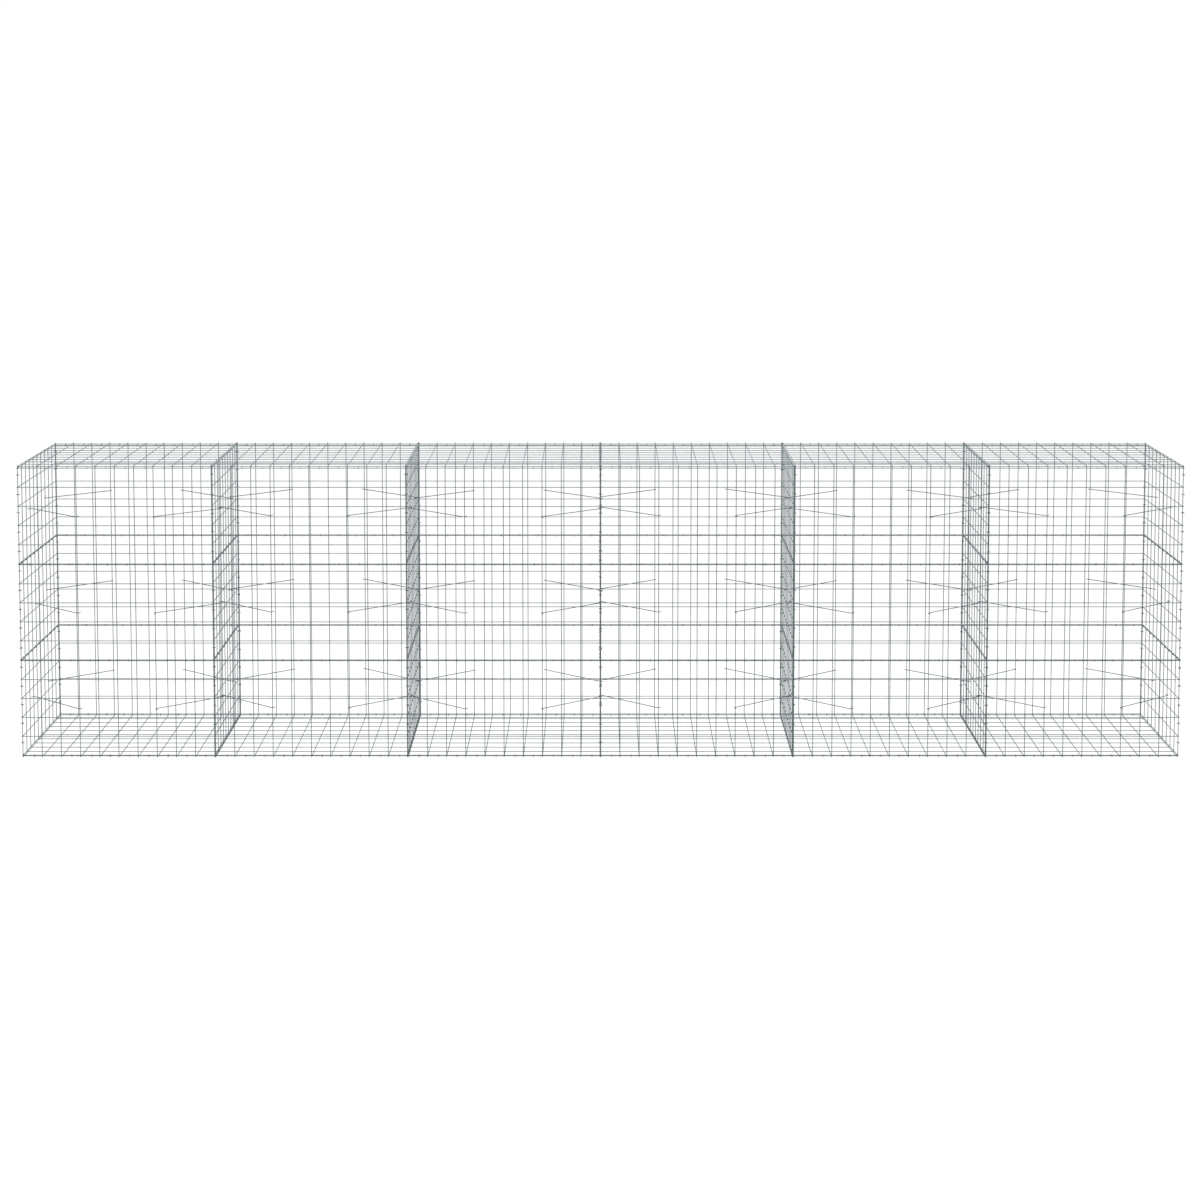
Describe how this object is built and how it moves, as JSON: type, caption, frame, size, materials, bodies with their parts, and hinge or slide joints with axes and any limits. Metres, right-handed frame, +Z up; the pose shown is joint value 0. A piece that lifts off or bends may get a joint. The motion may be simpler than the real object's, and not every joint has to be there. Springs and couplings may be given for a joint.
{
  "type": "gabion wall basket row",
  "caption": "Row of empty box baskets of galvanised welded wire mesh, with dividers, corner ties and hinged mesh lids, that is filled with stone to make a wall.",
  "frame": {"origin": "middle of the row's footprint, on the ground", "axes": "+X along the row, -Y towards the front, +Z up"},
  "size_m": [6.0556, 1.0466, 1.5339],
  "materials": {
    "mesh_wire": "hot-dip galvanised, dull",
    "tie_wire": "hot-dip galvanised, dull"
  },
  "bodies": {
    "basket_row": {"front_mesh_bay_1": "mesh_wire", "back_mesh_bay_1": "mesh_wire", "base_mesh_bay_1": "mesh_wire", "corner_ties_bay_1": "tie_wire", "front_mesh_bay_2": "mesh_wire", "back_mesh_bay_2": "mesh_wire", "base_mesh_bay_2": "mesh_wire", "corner_ties_bay_2": "tie_wire", "front_mesh_bay_3": "mesh_wire", "back_mesh_bay_3": "mesh_wire", "base_mesh_bay_3": "mesh_wire", "corner_ties_bay_3": "tie_wire", "front_mesh_bay_4": "mesh_wire", "back_mesh_bay_4": "mesh_wire", "base_mesh_bay_4": "mesh_wire", "corner_ties_bay_4": "tie_wire", "front_mesh_bay_5": "mesh_wire", "back_mesh_bay_5": "mesh_wire", "base_mesh_bay_5": "mesh_wire", "corner_ties_bay_5": "tie_wire", "front_mesh_bay_6": "mesh_wire", "back_mesh_bay_6": "mesh_wire", "base_mesh_bay_6": "mesh_wire", "corner_ties_bay_6": "tie_wire", "end_mesh_left": "mesh_wire", "end_mesh_right": "mesh_wire", "divider_mesh_1": "mesh_wire", "divider_mesh_2": "mesh_wire", "divider_mesh_3": "mesh_wire", "divider_mesh_4": "mesh_wire", "divider_mesh_5": "mesh_wire"},
    "lid_1": {"lid_mesh_bay_1": "mesh_wire"},
    "lid_2": {"lid_mesh_bay_2": "mesh_wire"},
    "lid_3": {"lid_mesh_bay_3": "mesh_wire"},
    "lid_4": {"lid_mesh_bay_4": "mesh_wire"},
    "lid_5": {"lid_mesh_bay_5": "mesh_wire"},
    "lid_6": {"lid_mesh_bay_6": "mesh_wire"}
  },
  "joints": [
    {"name": "lid_1_hinge", "type": "hinge", "parent": "basket_row", "child": "lid_1", "pos_m": [-2.51075, 0.4993, 1.5262], "axis": [-1, 0, 0], "range_deg": [0, 90]},
    {"name": "lid_2_hinge", "type": "hinge", "parent": "basket_row", "child": "lid_2", "pos_m": [-1.50645, 0.4993, 1.5262], "axis": [-1, 0, 0], "range_deg": [0, 90]},
    {"name": "lid_3_hinge", "type": "hinge", "parent": "basket_row", "child": "lid_3", "pos_m": [-0.50215, 0.4993, 1.5262], "axis": [-1, 0, 0], "range_deg": [0, 90]},
    {"name": "lid_4_hinge", "type": "hinge", "parent": "basket_row", "child": "lid_4", "pos_m": [0.50215, 0.4993, 1.5262], "axis": [-1, 0, 0], "range_deg": [0, 90]},
    {"name": "lid_5_hinge", "type": "hinge", "parent": "basket_row", "child": "lid_5", "pos_m": [1.50645, 0.4993, 1.5262], "axis": [-1, 0, 0], "range_deg": [0, 90]},
    {"name": "lid_6_hinge", "type": "hinge", "parent": "basket_row", "child": "lid_6", "pos_m": [2.51075, 0.4993, 1.5262], "axis": [-1, 0, 0], "range_deg": [0, 90]}
  ]
}
